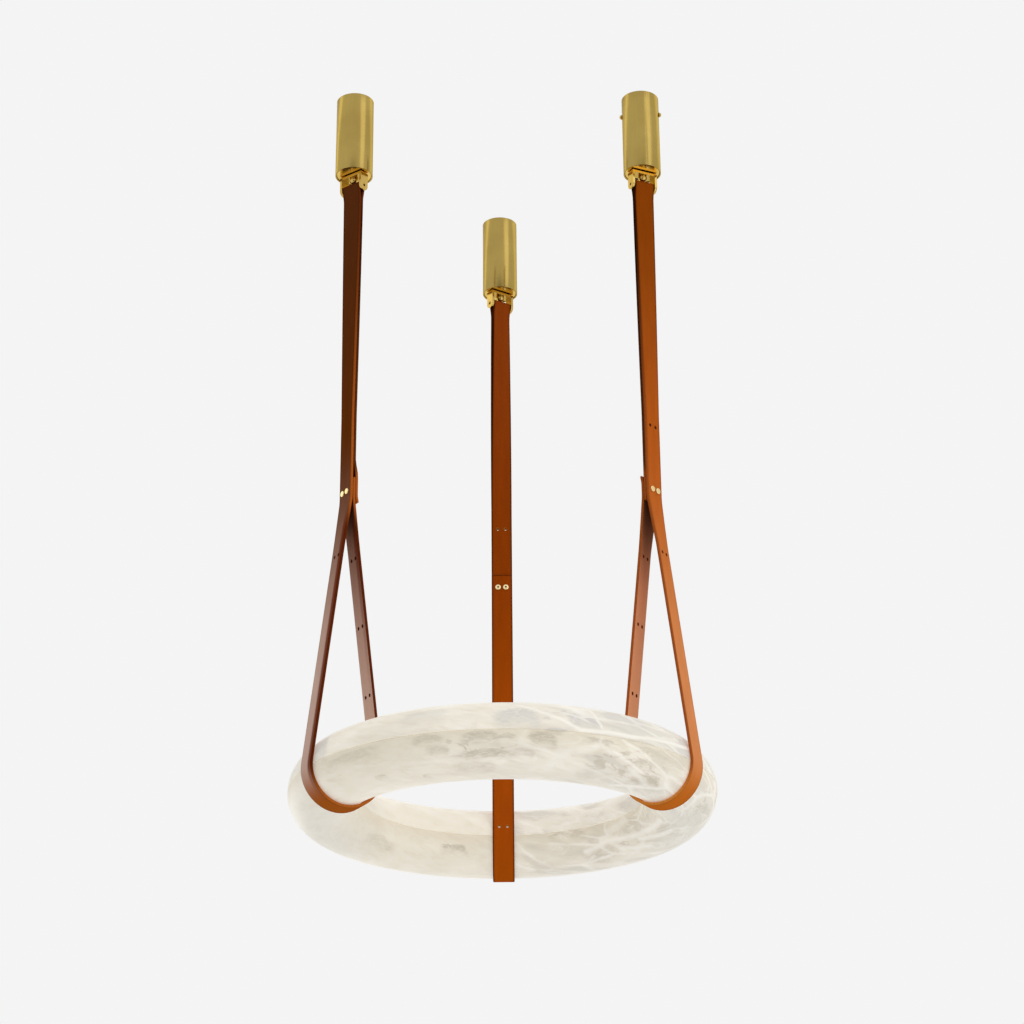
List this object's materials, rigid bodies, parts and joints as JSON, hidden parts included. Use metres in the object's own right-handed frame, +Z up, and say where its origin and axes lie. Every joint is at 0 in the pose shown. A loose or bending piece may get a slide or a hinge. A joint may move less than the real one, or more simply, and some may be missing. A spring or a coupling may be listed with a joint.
{
  "type": "ring pendant light",
  "caption": "Hollow alabaster ring light slung level in leather straps that hang from brass cylinder canopies on ball-mounted clevises.",
  "frame": {"origin": "on the ceiling plane, at the centre of the circle of the three inner ceiling screw holes, on the ring's axis", "axes": "+Z up, square to the ceiling; +Y towards the rear hanger; -Y is the front, +X the right hanger's side"},
  "size_m": [0.6, 0.6044, 1.1152],
  "materials": {
    "alabaster": "polished, translucent, cloudy veins",
    "leather": "smooth saddle leather, burnished edges",
    "brass_satin": "satin, brushed round",
    "brass_polished": "polished",
    "steel": "zinc plated",
    "aluminium": "mill finish",
    "circuit": "white flexible circuit",
    "led": "phosphor resin",
    "white_plastic": "moulded",
    "bushing": "black rubber",
    "sealant": "thin bonding gasket"
  },
  "bodies": {
    "ceiling_set": {"terminal_block": "white_plastic", "lead_grommet": "bushing", "ceiling_plate_rear": "steel", "stem_rear": "brass_polished", "lock_nuts_rear": "steel", "bottom_disc_rear": "brass_polished", "canopy_tube_rear": "brass_satin", "side_screws_rear": "brass_polished", "ceiling_plate_left": "steel", "stem_left": "brass_polished", "lock_nuts_left": "steel", "bottom_disc_left": "brass_polished", "canopy_tube_left": "brass_satin", "side_screws_left": "brass_polished", "ceiling_plate_right": "steel", "stem_right": "brass_polished", "lock_nuts_right": "steel", "bottom_disc_right": "brass_polished"},
    "feed_cover": {"canopy_tube_right": "brass_satin", "side_screws_right": "brass_polished"},
    "hanger_rear": {"clevis_rear": "brass_polished", "clevis_pin_rear": "brass_polished", "strap_rear": "leather", "posts_rear": "brass_polished", "post_screws_rear": "brass_polished"},
    "hanger_left": {"clevis_left": "brass_polished", "clevis_pin_left": "brass_polished", "strap_left": "leather", "posts_left": "brass_polished", "post_screws_left": "brass_polished"},
    "hanger_right": {"clevis_right": "brass_polished", "clevis_pin_right": "brass_polished", "strap_right": "leather", "posts_right": "brass_polished", "post_screws_right": "brass_polished"},
    "ring": {"shell_upper": "alabaster", "shell_lower": "alabaster", "seam_gaskets": "sealant", "led_carrier": "aluminium", "led_strip_upper": "circuit", "led_strip_lower": "circuit", "leds_upper": "led", "leds_lower": "led", "ring_terminal": "white_plastic", "inlet_bush": "bushing"}
  },
  "joints": [
    {"name": "sway", "type": "hinge", "parent": "ceiling_set", "child": "hanger_rear", "pos_m": [0, 0.25, -0.137], "axis": [1, 0, 0], "range_deg": [-3, 3]},
    {"name": "sway_left", "type": "hinge", "parent": "ceiling_set", "child": "hanger_left", "pos_m": [-0.21651, -0.125, -0.137], "axis": [1, 0, 0], "range_deg": [-3, 3]},
    {"name": "sway_right", "type": "hinge", "parent": "ceiling_set", "child": "hanger_right", "pos_m": [0.21651, -0.125, -0.137], "axis": [1, 0, 0], "range_deg": [-3, 3]},
    {"name": "ring_level", "type": "hinge", "parent": "hanger_rear", "child": "ring", "pos_m": [0, 0.25, -1.06], "axis": [1, 0, 0], "range_deg": [-3, 3]},
    {"name": "feed_cover_slide", "type": "slide", "parent": "ceiling_set", "child": "feed_cover", "axis": [0, 0, -1], "range_m": [0, 0.1]}
  ],
  "couplings": [
    {"joint": "sway_left", "follows": "sway", "ratio": 1},
    {"joint": "sway_right", "follows": "sway", "ratio": 1},
    {"joint": "ring_level", "follows": "sway", "ratio": -1}
  ]
}
